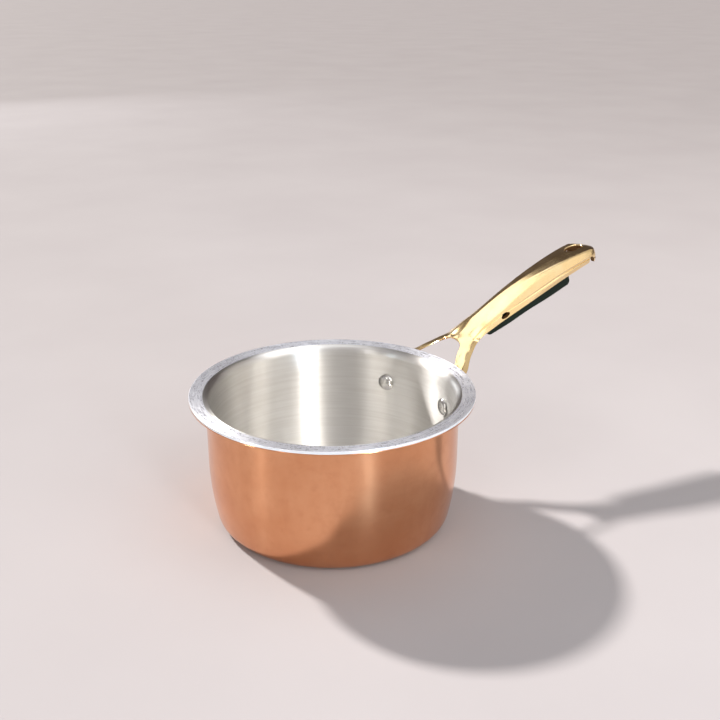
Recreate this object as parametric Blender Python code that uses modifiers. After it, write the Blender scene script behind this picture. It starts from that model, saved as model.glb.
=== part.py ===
"""Copper saucepan: tri-ply vessel with a flared lip, a cast wishbone handle
held by two rivets, and a silicone grip strip under the handle.

Frame: origin on the standing plane, on the axis of the vessel; +Z up; the
handle runs along +X and the part is symmetric about the plane Y = 0.
"""
import math

import bmesh
import bpy
from mathutils import Matrix, Vector

# ---------------------------------------------------------------- dimensions
MM = 0.001
CLEARANCE = 0.3 * MM                # gap kept between neighbouring pieces

# Vessel, measured on the outside of the copper ply
BODY_RADIUS = 79.8 * MM             # straight upper wall
LIP_RADIUS = 90.0 * MM              # edge of the flared lip
HEIGHT = 87.5 * MM                  # top of the lip edge
CORNER_RADIUS = 9.0 * MM            # base to wall
BELLY_RADIUS = 180.0 * MM           # curve of the lower wall
WALL_LEAN = math.radians(12.2)      # lean of the wall where it meets the corner
LIP_RISE = math.radians(4.0)        # upward slope of the flared lip
LIP_BEND = 2.6 * MM                 # underside bend from wall to lip

# Plies, from the outside in
COPPER_PLY = 0.7 * MM
CORE_PLY = 0.7 * MM
STEEL_PLY = 0.6 * MM
CORE_DEPTH = COPPER_PLY + CLEARANCE
STEEL_DEPTH = CORE_DEPTH + CORE_PLY + CLEARANCE
WALL = STEEL_DEPTH + STEEL_PLY
VESSEL_TURNS = 48                   # facets round the vessel

# Rivets
RIVET_ANGLE = math.radians(21.4)    # either side of the handle's plane
RIVET_HEIGHT = 63.3 * MM
SHANK_RADIUS = 3.0 * MM
HEAD_RADIUS = 5.8 * MM
HEAD_RISE = 2.7 * MM
TAIL_RADIUS = 4.6 * MM
TAIL_RISE = 1.6 * MM
RIVET_TURNS = 20
SEAT = 0.25 * MM                    # head edge held off the round wall

# Handle casting
CASTING = 2.4 * MM                  # thickness
PAD_HALF = 8.0 * MM                 # half width of the pads on the vessel wall
PAD_BACK = BODY_RADIUS + CLEARANCE  # face of the pads against the wall
NOSE_HALF = 12.3 * MM               # radius of the round nose over its foot
SIDE_BULGE = 1.2 * MM               # roundness of the side walls
CREASE_SHARE = 0.12                 # where the crease lies across an arm
NOSE_X = 243.5 * MM                 # centre of the round nose
NOSE_TOP = 138.9 * MM
NOSE_SHOULDER = 10.9 * MM           # radius of the top face round the nose
NOSE_SHOULDER_TOP = 137.3 * MM
NOSE_FOOT = 127.0 * MM
NOSE_FOOT_LIFT = 1.5 * MM           # foot rises into the side wall's edge
NOSE_DROOP = 0.6 * MM               # fall of the top face towards the tip
PAD_ROUND = (80.0, 50.0, 22.0, 0.0)  # degrees of the stations round a pad's end
PAD_UPRIGHT = (0.6, 1.0)            # shares of the pad's half width above it
PAD_TAPER = 0.1
SIDE_SHARES = (0.25, 0.5, 0.75)     # loft columns of the side wall
ROWS_PER_SPAN = 2                   # loft rows between two stations
NOSE_STEPS = 7                      # loft rows round half of the nose

# Openings in the handle
HOLE_X = 236.4 * MM                 # hanging hole
HOLE_HALF_LENGTH = 8.0 * MM
HOLE_HALF_WIDTH = 4.6 * MM
NOTCH_X = 244.4 * MM                # notch in each side wall behind the nose
NOTCH_Z = 126.4 * MM
NOTCH_HALF_WIDTH = 3.2 * MM
NOTCH_HALF_HEIGHT = 6.0 * MM
WINDOW_X = 150.0 * MM               # window of the grip's lock in each side wall
WINDOW_Z = 105.4 * MM
WINDOW_HALF_LENGTH = 4.4 * MM
WINDOW_HALF_HEIGHT = 1.5 * MM
EDGE_SLOPE = math.radians(16.0)     # slope of the stem's lower edge
CUTTER_SIDES = 24
DRILL_LENGTH = 20.0 * MM
CROSS_LENGTH = 40.0 * MM            # cutters that pass through both side walls

# Grip strip
GRIP_HALF = 8.0 * MM
GRIP_ROUND = 2.2 * MM
GRIP_END_RADIUS = 4.0 * MM


# Colours (linear RGB)
COPPER_RED = (0.72, 0.36, 0.21)
ALUMINIUM_WHITE = (0.80, 0.80, 0.81)
STEEL_GREY = (0.66, 0.63, 0.61)
BRASS_GOLD = (0.88, 0.66, 0.32)
SILICONE_GREEN = (0.012, 0.028, 0.018)
POLISHED_GREY = (0.75, 0.74, 0.73)


# ------------------------------------------------------------------- helpers
def clear_scene():
    for old in list(bpy.data.objects):
        bpy.data.objects.remove(old, do_unlink=True)


def make_collection(name):
    collection = bpy.data.collections.new(name)
    bpy.context.scene.collection.children.link(collection)
    return collection


def make_material(name, colour, metallic, roughness):
    material = bpy.data.materials.new(name)
    material.use_nodes = True
    shader = material.node_tree.nodes["Principled BSDF"]
    shader.inputs["Base Color"].default_value = (*colour, 1.0)
    shader.inputs["Metallic"].default_value = metallic
    shader.inputs["Roughness"].default_value = roughness
    return material


def mesh_object(name, mesh, collection, material=None):
    piece = bpy.data.objects.new(name, mesh)
    collection.objects.link(piece)
    if material:
        mesh.materials.append(material)
    return piece


def move_to_collection(piece, collection):
    for old in list(piece.users_collection):
        old.objects.unlink(piece)
    collection.objects.link(piece)


def apply_scale(piece):
    piece.data.transform(Matrix.Diagonal((*piece.scale, 1.0)))
    piece.scale = (1.0, 1.0, 1.0)


def turned(name, profile, turns, collection, material):
    """Solid of revolution about Z: profile points are (radius, height)."""
    mesh = bpy.data.meshes.new(name)
    points = [(radius, 0.0, height) for radius, height in profile]
    edges = [(i, i + 1) for i in range(len(points) - 1)]
    mesh.from_pydata(points, edges, [])
    piece = mesh_object(name, mesh, collection, material)
    screw = piece.modifiers.new("Turn", "SCREW")
    screw.axis = "Z"
    screw.steps = turns
    screw.render_steps = turns
    screw.use_merge_vertices = True
    screw.merge_threshold = 0.00001
    screw.use_smooth_shade = True
    return piece


def cylinder_cutter(name, collection, half_x, half_y, length, placement):
    """Elliptic cylinder along its own Z, set down by a placement matrix."""
    bpy.ops.mesh.primitive_cylinder_add(vertices=CUTTER_SIDES, radius=1.0, depth=length)
    cutter = bpy.context.object
    cutter.name = name
    cutter.scale = (half_x, half_y, 1.0)
    apply_scale(cutter)
    cutter.matrix_world = placement
    cutter.hide_render = True
    cutter.display_type = "WIRE"
    move_to_collection(cutter, collection)
    return cutter


def cut(piece, cutter):
    boolean = piece.modifiers.new("Cut " + cutter.name, "BOOLEAN")
    boolean.operation = "DIFFERENCE"
    boolean.object = cutter


def arc(centre, radius, start, end, segments):
    """Points on an arc, both ends included; angles in radians."""
    points = []
    for i in range(segments + 1):
        angle = start + (end - start) * i / segments
        points.append((centre[0] + radius * math.cos(angle),
                       centre[1] + radius * math.sin(angle)))
    return points


def smooth_path(points, per_span, beyond=None):
    """Catmull-Rom curve through the given points; the end is steered by the
    point beyond it, if one is given."""
    result = []
    last = len(points) - 1
    line = points + [beyond or points[last]]
    for i in range(last):
        before = line[max(i - 1, 0)]
        start = line[i]
        end = line[i + 1]
        after = line[i + 2]
        for k in range(per_span):
            t = k / per_span
            result.append(0.5 * (2.0 * start + (end - before) * t
                                 + (2.0 * before - 5.0 * start + 4.0 * end - after) * t ** 2
                                 + (3.0 * start - before - 3.0 * end + after) * t ** 3))
    result.append(points[last].copy())
    return result


# -------------------------------------------------------------------- vessel
def vessel_surface(depth):
    """Half section of the vessel at a depth below its outer face, from the
    axis at the base out to the edge of the lip."""
    belly_centre_x = BODY_RADIUS - BELLY_RADIUS
    reach = BELLY_RADIUS - CORNER_RADIUS
    corner_x = belly_centre_x + reach * math.cos(WALL_LEAN)
    belly_centre_z = CORNER_RADIUS + reach * math.sin(WALL_LEAN)
    down = -0.5 * math.pi
    corner = arc((corner_x, CORNER_RADIUS), CORNER_RADIUS - depth, down, -WALL_LEAN, 4)
    belly = arc((belly_centre_x, belly_centre_z), BELLY_RADIUS - depth, -WALL_LEAN, 0.0, 3)

    bend_x = BODY_RADIUS + LIP_BEND
    bend_end = 0.5 * math.pi + LIP_RISE
    lip_run = LIP_RADIUS - bend_x
    lip_top = HEIGHT - WALL / math.cos(LIP_RISE)
    bend_z = lip_top - lip_run * math.tan(LIP_RISE) - LIP_BEND / math.cos(LIP_RISE)
    bend = arc((bend_x, bend_z), LIP_BEND + depth, math.pi, bend_end, 4)
    lip_edge = (LIP_RADIUS, lip_top + depth / math.cos(LIP_RISE))
    return [(0.0, depth)] + corner + belly[1:] + bend + [lip_edge]


def make_ply(name, depth, thickness, collection, material, drills):
    """One ply of the vessel wall: down its outer face, back up its inner."""
    outer = vessel_surface(depth)
    inner = vessel_surface(depth + thickness)
    profile = inner + outer[::-1]
    piece = turned(name, profile, VESSEL_TURNS, collection, material)
    for drill in drills:
        cut(piece, drill)
    return piece


# -------------------------------------------------------------------- rivets
def radial(angle, height):
    """Placement whose Z axis points straight out from the vessel's axis."""
    lift = Matrix.Translation((0.0, 0.0, height))
    return lift @ Matrix.Rotation(angle, 4, "Z") @ Matrix.Rotation(0.5 * math.pi, 4, "Y")


def make_rivet(name, angle, collection, material):
    """Domed head inside the pan, shank through wall and pad, upset tail."""
    head_seat = BODY_RADIUS - WALL - CLEARANCE - SEAT
    tail_seat = PAD_BACK + CASTING + CLEARANCE
    quarter = 0.5 * math.pi
    tail = []
    for x, z in arc((0.0, 0.0), 1.0, quarter, 0.0, 4):
        tail.append((x * TAIL_RADIUS, tail_seat + z * TAIL_RISE))
    tail[0] = (0.0, tail_seat + TAIL_RISE)
    head = []
    for x, z in arc((0.0, 0.0), 1.0, 0.0, -quarter, 4):
        head.append((x * HEAD_RADIUS, head_seat + z * HEAD_RISE))
    head[-1] = (0.0, head_seat - HEAD_RISE)
    shank = [(SHANK_RADIUS, tail_seat), (SHANK_RADIUS, head_seat)]
    piece = turned(name, tail + shank + head, RIVET_TURNS, collection, material)
    piece.matrix_world = radial(angle, RIVET_HEIGHT)
    return piece


# -------------------------------------------------------------------- handle
def on_pad(sideways, height):
    """Point on the back of a pad, sideways from its middle. The top face of
    an arm turns down at the wall and becomes the back of its pad."""
    angle = RIVET_ANGLE + sideways / PAD_BACK
    return Vector((PAD_BACK * math.cos(angle), PAD_BACK * math.sin(angle), height))


def point_mm(x, y, z):
    return Vector((x, y, z)) * MM


def pad_stations():
    """Round lower end of a pad and its upright part."""
    stations = []
    for degrees in PAD_ROUND:
        angle = math.radians(degrees)
        half = PAD_HALF * math.cos(angle)
        height = RIVET_HEIGHT - PAD_HALF * math.sin(angle)
        stations.append((on_pad(-half, height), on_pad(half, height)))
    for share in PAD_UPRIGHT:
        neck = PAD_HALF * (1.0 - PAD_TAPER * share)
        height = RIVET_HEIGHT + PAD_HALF * share
        stations.append((on_pad(-neck, height), on_pad(neck, height)))
    return stations


def arm_stations():
    """An arm from under the lip to the fork: inner edge and outer edge."""
    return [
        (point_mm(82.2, 21.5, 78.0), point_mm(80.4, 33.6, 76.6)),
        (point_mm(87.2, 20.2, 82.6), point_mm(88.6, 30.2, 80.0)),
        (point_mm(92.2, 18.2, 85.8), point_mm(96.8, 25.6, 82.6)),
        (point_mm(96.5, 15.0, 88.5), point_mm(101.6, 22.2, 85.6)),
        (point_mm(101.2, 12.1, 90.8), point_mm(106.4, 19.3, 88.1)),
        (point_mm(105.2, 9.8, 92.6), point_mm(111.2, 17.0, 90.7)),
        (point_mm(107.6, 7.0, 94.2), point_mm(115.2, 15.0, 92.4)),
        (point_mm(108.0, 3.6, 95.6), point_mm(118.6, 13.7, 93.6)),
    ]


def stem_stations():
    """The stem from the fork to the nose: ridge, crease and lower edge."""
    return [
        (point_mm(106.9, 0.0, 97.3), point_mm(108.0, 2.4, 97.3), point_mm(121.5, 13.0, 94.7)),
        (point_mm(112.0, 0.0, 100.6), point_mm(112.4, 3.5, 100.0), point_mm(125.5, 12.6, 96.2)),
        (point_mm(120.0, 0.0, 104.2), point_mm(120.4, 3.5, 103.3), point_mm(130.0, 12.3, 97.7)),
        (point_mm(130.0, 0.0, 107.9), point_mm(130.0, 3.1, 106.9), point_mm(136.5, 12.1, 99.5)),
        (point_mm(142.0, 0.0, 113.0), point_mm(142.0, 3.0, 112.0), point_mm(145.0, 11.7, 101.8)),
        (point_mm(156.0, 0.0, 118.5), point_mm(156.0, 3.7, 117.4), point_mm(157.0, 11.4, 104.9)),
        (point_mm(172.0, 0.0, 123.7), point_mm(172.0, 4.9, 122.5), point_mm(172.0, 11.3, 108.9)),
        (point_mm(190.0, 0.0, 128.7), point_mm(190.0, 6.4, 127.5), point_mm(190.0, 11.4, 114.0)),
        (point_mm(208.0, 0.0, 133.0), point_mm(208.0, 7.9, 131.7), point_mm(208.0, 11.7, 119.3)),
        (point_mm(224.0, 0.0, 136.2), point_mm(224.0, 9.4, 134.7), point_mm(224.0, 12.0, 123.6)),
        (point_mm(235.0, 0.0, 138.2), point_mm(235.0, 10.4, 136.3), point_mm(235.0, 12.2, 126.4)),
    ]


def nose_stations():
    """Quarter turn round the nose, from the side wall to the plane Y = 0."""
    ridge = Vector((NOSE_X, 0.0, NOSE_TOP))
    stations = []
    for step in range(NOSE_STEPS + 1):
        turn = 0.5 * math.pi * step / NOSE_STEPS
        forward = math.sin(turn)
        sideways = math.cos(turn)
        foot = NOSE_FOOT + NOSE_FOOT_LIFT * max(0.0, 1.0 - 2.0 * forward)
        crease = Vector((NOSE_X + NOSE_SHOULDER * forward, NOSE_SHOULDER * sideways,
                         NOSE_SHOULDER_TOP - NOSE_DROOP * forward))
        edge = Vector((NOSE_X + NOSE_HALF * forward, NOSE_HALF * sideways, foot))
        stations.append((ridge.copy(), crease, edge))
    return stations


def bulge(start, end, share, amount):
    """Point between two edges of a side wall, pushed out along its normal."""
    run = Vector((end.x - start.x, end.y - start.y, 0.0))
    drop = start.z - end.z
    across = run.normalized() * drop + Vector((0.0, 0.0, run.length))
    out = across.normalized() * amount * math.sin(math.pi * share)
    return start.lerp(end, share) + out


def clear_of_wall(point):
    """The same point, moved out to the back of the pads if it lies deeper."""
    radius = math.hypot(point.x, point.y)
    if radius >= PAD_BACK:
        return point
    push = PAD_BACK / radius
    return Vector((point.x * push, point.y * push, point.z))


def handle_rows():
    """Loft rows from the pad to the nose, each from the middle outwards."""
    arm = [(inner, inner.lerp(outer, CREASE_SHARE), outer)
           for inner, outer in pad_stations() + arm_stations()]
    stem = stem_stations()
    nose = nose_stations()
    side = arm + stem + nose[:1]
    fork = len(arm)
    across_fork = side[fork - 1][0] * Vector((1.0, -1.0, 1.0))
    arm_ridge = [station[0] for station in side[:fork + 1]]
    stem_ridge = [station[0] for station in side[fork:]]
    ridge = smooth_path(arm_ridge, ROWS_PER_SPAN, across_fork)[:-1]
    ridge += smooth_path(stem_ridge, ROWS_PER_SPAN)
    crease = smooth_path([station[1] for station in side], ROWS_PER_SPAN)
    edge = smooth_path([station[2] for station in side], ROWS_PER_SPAN)
    rows = []
    for first, second, last in list(zip(ridge, crease, edge)) + nose[1:]:
        row = [first, second]
        for share in SIDE_SHARES:
            row.append(bulge(second, last, share, SIDE_BULGE))
        row.append(last)
        rows.append([clear_of_wall(point) for point in row])
    for point in rows[-1]:
        point.y = 0.0
    return rows


def make_handle(collection, material, cutters):
    """Half of the casting's outer face, mirrored and given its thickness."""
    mesh = bpy.data.meshes.new("handle")
    bm = bmesh.new()
    rows = [[bm.verts.new(point) for point in row] for row in handle_rows()]
    for row, following in zip(rows, rows[1:]):
        for i in range(len(row) - 1):
            bm.faces.new((row[i], following[i], following[i + 1], row[i + 1]))
    bmesh.ops.remove_doubles(bm, verts=bm.verts, dist=0.01 * MM)
    bm.to_mesh(mesh)
    bm.free()
    mesh.shade_smooth()
    piece = mesh_object("handle", mesh, collection, material)
    mirror = piece.modifiers.new("Other side", "MIRROR")
    mirror.use_axis = (False, True, False)
    mirror.merge_threshold = 0.00002
    shell = piece.modifiers.new("Casting", "SOLIDIFY")
    shell.thickness = CASTING
    shell.offset = -1.0
    shell.use_even_offset = True
    for cutter in cutters:
        cut(piece, cutter)
    return piece


# ---------------------------------------------------------------- grip strip
def grip_outline():
    """Side outline of the grip: round ends, belly below the stem's edge."""
    front = (140.0 * MM, 96.2 * MM)
    back = (221.8 * MM, 115.8 * MM)
    outline = arc(front, GRIP_END_RADIUS, math.pi, 1.58 * math.pi, 5)
    belly = [Vector((front[0], front[1] - GRIP_END_RADIUS, 0.0)),
             point_mm(158.0, 96.0, 0.0),
             point_mm(180.0, 101.8, 0.0),
             point_mm(202.0, 106.6, 0.0),
             Vector((back[0], back[1] - GRIP_END_RADIUS, 0.0))]
    for point in smooth_path(belly, 3)[2:-1]:
        outline.append((point.x, point.y))
    outline += arc(back, GRIP_END_RADIUS, 1.58 * math.pi, 2.0 * math.pi, 5)
    top = [point_mm(222.6, 124.6, 0.0), point_mm(200.0, 118.6, 0.0),
           point_mm(180.0, 112.9, 0.0), point_mm(158.0, 106.8, 0.0),
           point_mm(138.0, 101.2, 0.0)]
    for point in smooth_path(top, 2):
        outline.append((point.x, point.y))
    return outline


def make_grip(collection, material):
    outline = grip_outline()
    curve = bpy.data.curves.new("grip outline", "CURVE")
    curve.dimensions = "2D"
    curve.fill_mode = "BOTH"
    curve.extrude = GRIP_HALF
    spline = curve.splines.new("POLY")
    spline.points.add(len(outline) - 1)
    for spot, (x, z) in zip(spline.points, outline):
        spot.co = (x, z, 0.0, 1.0)
    spline.use_cyclic_u = True
    guide = bpy.data.objects.new("grip outline", curve)
    collection.objects.link(guide)
    guide.matrix_world = Matrix.Rotation(0.5 * math.pi, 4, "X")
    bpy.context.view_layer.update()
    evaluated = guide.evaluated_get(bpy.context.evaluated_depsgraph_get())
    mesh = bpy.data.meshes.new_from_object(evaluated)
    placement = guide.matrix_world.copy()
    bpy.data.objects.remove(guide, do_unlink=True)
    bm = bmesh.new()
    bm.from_mesh(mesh)
    bmesh.ops.remove_doubles(bm, verts=bm.verts, dist=0.01 * MM)
    bmesh.ops.dissolve_limit(bm, angle_limit=math.radians(0.1), verts=bm.verts,
                             edges=bm.edges)
    bm.to_mesh(mesh)
    bm.free()
    mesh.name = "grip_strip"
    piece = mesh_object("grip_strip", mesh, collection, material)
    piece.matrix_world = placement
    rounding = piece.modifiers.new("Rounding", "BEVEL")
    rounding.width = GRIP_ROUND
    rounding.segments = 3
    rounding.limit_method = "ANGLE"
    rounding.angle_limit = math.radians(50.0)
    return piece


# ------------------------------------------------------------------ assembly
def upright(x, y, z):
    return Matrix.Translation((x, y, z))


def crosswise(x, z, slope):
    """Placement whose Z axis lies along Y, tilted in the handle's plane."""
    turn = Matrix.Rotation(-slope, 4, "Y") @ Matrix.Rotation(0.5 * math.pi, 4, "X")
    return Matrix.Translation((x, 0.0, z)) @ turn


def build():
    clear_scene()
    pan = make_collection("copper_saucepan")
    tools = make_collection("cutters")

    copper = make_material("copper", COPPER_RED, 1.0, 0.30)
    aluminium = make_material("aluminium", ALUMINIUM_WHITE, 1.0, 0.35)
    steel = make_material("brushed steel", STEEL_GREY, 1.0, 0.28)
    brass = make_material("polished brass", BRASS_GOLD, 1.0, 0.15)
    silicone = make_material("green silicone", SILICONE_GREEN, 0.0, 0.60)
    polished = make_material("polished steel", POLISHED_GREY, 1.0, 0.12)

    drills = []
    for name, side in (("drill_left", 1.0), ("drill_right", -1.0)):
        radius = SHANK_RADIUS + CLEARANCE
        outward = Matrix.Translation((0.0, 0.0, BODY_RADIUS))
        placement = radial(side * RIVET_ANGLE, RIVET_HEIGHT) @ outward
        drills.append(cylinder_cutter(name, tools, radius, radius, DRILL_LENGTH, placement))

    make_ply("copper_shell", 0.0, COPPER_PLY, pan, copper, drills)
    make_ply("aluminium_core", CORE_DEPTH, CORE_PLY, pan, aluminium, drills)
    make_ply("steel_lining", STEEL_DEPTH, STEEL_PLY, pan, steel, drills)

    hole = cylinder_cutter("hanging_hole", tools, HOLE_HALF_LENGTH, HOLE_HALF_WIDTH,
                           DRILL_LENGTH, upright(HOLE_X, 0.0, NOSE_TOP))
    notch = cylinder_cutter("nose_notch", tools, NOTCH_HALF_WIDTH, NOTCH_HALF_HEIGHT,
                            CROSS_LENGTH, crosswise(NOTCH_X, NOTCH_Z, 0.0))
    window = cylinder_cutter("lock_window", tools, WINDOW_HALF_LENGTH, WINDOW_HALF_HEIGHT,
                             CROSS_LENGTH, crosswise(WINDOW_X, WINDOW_Z, EDGE_SLOPE))
    make_handle(pan, brass, drills + [hole, notch, window])
    make_grip(pan, silicone)

    make_rivet("rivet_left", RIVET_ANGLE, pan, polished)
    make_rivet("rivet_right", -RIVET_ANGLE, pan, polished)


build()
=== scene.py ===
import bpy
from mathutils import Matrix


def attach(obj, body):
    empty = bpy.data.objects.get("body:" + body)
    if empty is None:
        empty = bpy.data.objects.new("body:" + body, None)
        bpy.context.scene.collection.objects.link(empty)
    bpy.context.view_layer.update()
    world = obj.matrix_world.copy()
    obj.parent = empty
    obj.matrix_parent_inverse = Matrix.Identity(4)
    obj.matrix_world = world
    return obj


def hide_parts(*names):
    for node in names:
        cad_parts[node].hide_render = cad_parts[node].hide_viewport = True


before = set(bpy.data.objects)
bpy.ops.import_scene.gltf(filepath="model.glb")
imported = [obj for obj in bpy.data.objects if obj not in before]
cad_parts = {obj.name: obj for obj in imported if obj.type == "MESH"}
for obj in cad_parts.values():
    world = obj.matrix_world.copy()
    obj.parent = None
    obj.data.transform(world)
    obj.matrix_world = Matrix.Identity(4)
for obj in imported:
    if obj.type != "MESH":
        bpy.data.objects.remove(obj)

"""Looks of the copper saucepan: turned vessel of three plies, cast wishbone
handle, silicone grip strip and two rivets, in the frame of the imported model
(origin on the standing plane on the vessel's axis, +Z up, handle along +X)."""
import math

import bmesh
import bpy
import numpy as np
from mathutils import Matrix, Vector

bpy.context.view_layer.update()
MM = 0.001
SHARP_ANGLE = math.radians(38.0)         # edges sharper than this stay sharp

# ------------------------------------------------------------ vessel section
BODY_RADIUS = 79.8 * MM
LIP_RADIUS = 90.0 * MM
HEIGHT = 87.5 * MM
CORNER_RADIUS = 9.0 * MM
BELLY_RADIUS = 180.0 * MM
WALL_LEAN = math.radians(12.2)
LIP_RISE = math.radians(4.0)
LIP_BEND = 2.6 * MM
WALL = 2.6 * MM
COPPER_DEPTH = (0.0, 0.88 * MM)          # from, to, below the copper's face
CORE_DEPTH = (0.90 * MM, 1.92 * MM)
STEEL_DEPTH = (1.94 * MM, WALL)
EDGE_ROUND = 0.22 * MM                   # rounding of the plies' cut edges
TURNS = 288
FLOOR_STEPS = 10                         # steps of the half section, axis to lip
CORNER_STEPS = 16
BELLY_STEPS = 24
WALL_STEPS = 6
BEND_STEPS = 16
LIP_STEPS = 8
SECTION_STEPS = FLOOR_STEPS + CORNER_STEPS + BELLY_STEPS + WALL_STEPS + BEND_STEPS + LIP_STEPS
CUT_STEPS = 4                            # steps of each half of a cut edge
ON_AXIS = 0.0001 * MM

# -------------------------------------------------------------------- rivets
RIVET_ANGLE = math.radians(21.4)
RIVET_HEIGHT = 63.3 * MM
SHANK_RADIUS = 2.9 * MM
HEAD_RADIUS = 5.8 * MM
HEAD_RISE = 2.7 * MM
TAIL_RADIUS = 4.6 * MM
TAIL_RISE = 1.6 * MM
RIVET_LEAD = 0.3 * MM                    # chamfer under the head and the tail, across
RIVET_LIP = 0.1 * MM                     # and along the shank
RIVET_TURNS = 72
HEAD_STEPS = 18
TAIL_STEPS = 12

# -------------------------------------------------------------------- handle
CLEARANCE = 0.3 * MM
SEAT = 0.25 * MM
CASTING = 2.4 * MM
PAD_HALF = 8.0 * MM
PAD_BACK = BODY_RADIUS + CLEARANCE
PAD_TAPER = 0.1                          # how much a pad narrows above its rivet
NOSE_HALF = 12.3 * MM
SIDE_BULGE = 1.2 * MM
CREASE_SHARE = 0.12                      # an arm's crease, from inner to outer edge
NOSE_X = 243.5 * MM
NOSE_TOP = 138.9 * MM
NOSE_SHOULDER = 10.9 * MM
NOSE_SHOULDER_TOP = 137.3 * MM
NOSE_FOOT = 127.0 * MM
NOSE_FOOT_RISE = 1.5 * MM                # lower edge, higher where the nose begins
NOSE_CREASE_DROP = 0.6 * MM              # crease, lower at the very front
ROWS_PER_SPAN = 8
NOSE_STEPS = 24
TOP_SHARES = (0.0, 0.25, 0.5, 0.75)      # places across the top face
CREASE_SHARES = (0.0, 0.25, 0.5, 0.75, 1.0)
SIDE_SHARES = (0.0, 0.06, 0.14, 0.24, 0.36, 0.48)
BEAD_SHARES = (1.7, 1.35, 1.15, 1.05, 0.95, 0.85, 0.6, 0.3, 0.12, 0.0)
CREASE_ROUND = 0.75 * MM
CREASE_MOST = 0.4                        # largest rounding, as a share of the top face
CREASE_CLEAR = 1.2                       # side points start this many roundings down
RIM_BULGE = 0.25 * MM
RIM_SQUARENESS = 0.6                     # 1 is an ellipse, 0 a square
RIM_STEPS = 7
BEAD_WIDTH = 3.7 * MM
BEAD_MOST = 0.28                         # widest bead, as a share of the side wall
BEAD_RISE = 0.35 * MM
BEAD_SLOPE = (1.1, 0.2)                  # end and width of its slope, in bead widths
GROOVE_DEPTH = 0.35 * MM
GROOVE_SHAPE = (1.08, 0.09)              # middle and width, in bead widths
BEAD_START = 119.0 * MM
BEAD_FADE = 1.2 * MM
FORK_CENTRE = Vector((109.0, 0.0, 97.5)) * MM
FORK_BLEND = 20.0 * MM                   # reach and width of the soft blend there
FORK_SPREAD = 4.5 * MM
CROTCH_BLEND = 8.0 * MM                  # the same for the edge between the arms
CROTCH_SPREAD = 2.0 * MM
FORK_PASSES = 1500                       # rounds of the diffusion
MOST_EDGES = 12                          # edges that meet at any one vertex
SHORT_EDGE = 0.12 * MM                   # shorter edges pull no harder than this
ARMS_END = (90.0 * MM, 104.0 * MM)       # X where the arms are thinnest, from, to
ARMS_BLEND = 14.0 * MM
ARMS_THINNING = 0.45

HOLE_X = 236.4 * MM
HOLE_HALF = (8.0 * MM, 4.6 * MM)
HOLE_DISH = 1.3 * MM
# The dish as (share of HOLE_DISH, height in mm over the top face).
HOLE_FLARE = ((0.0, -1.0), (0.12, -0.75), (0.45, -0.4), (1.0, 0.05), (1.5, 0.9), (1.5, 8.0))
RIDGE_X, RIDGE_TOP = 224.0 * MM, 136.2 * MM    # a point of the ridge before the hole
NOTCH_X = 244.4 * MM
NOTCH_Z = 126.4 * MM
NOTCH_HALF = (3.2 * MM, 6.0 * MM)
WINDOW_X = 150.0 * MM
WINDOW_Z = 105.4 * MM
WINDOW_HALF = (4.4 * MM, 1.5 * MM)
EDGE_SLOPE = math.radians(16.0)
DRILL_ROOM = 0.2 * MM                    # round the shank of a rivet
DRILL_REACH = (-4.0 * MM, 6.0 * MM)      # from the back of a pad
CUT_REACH = 30.0 * MM
CUT_TURNS = 72

# ---------------------------------------------------------------- grip strip
GRIP_HALF = 8.0 * MM
GRIP_ROUND = 2.2 * MM
GRIP_END_RADIUS = 4.0 * MM
GRIP_FRONT = (140.0 * MM, 96.2 * MM)     # centres of the round ends
GRIP_BACK = (221.8 * MM, 115.8 * MM)
GRIP_TURN = 1.58 * math.pi               # where a round end meets the belly

# -------------------------------------------------------- camera and setting
CAMERA_PLACE = Vector((-0.36799, -0.45120, 0.33320))
CAMERA_AIM = Vector((0.61011, 0.70435, -0.36283))
CAMERA_LENS = 50.0
CAMERA_SENSOR = 36.0
FLOOR_HALF = 40.0
FLOOR_DROP = 0.05 * MM                   # keeps the floor clear of the base
LIGHTS_AIM = Vector((20.0, 0.0, 60.0)) * MM
SUN_DISTANCE = 2.4
ROOM_STRENGTH = 0.6
ROOM_TILT = 0.15                         # brighter towards the ground
ROOM_FRONT = (0.25, (0.86, 0.81, 0.79, 1.0))     # where it starts, colour
ROOM_BACK = (0.85, (0.13, 0.105, 0.105, 1.0))


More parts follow.
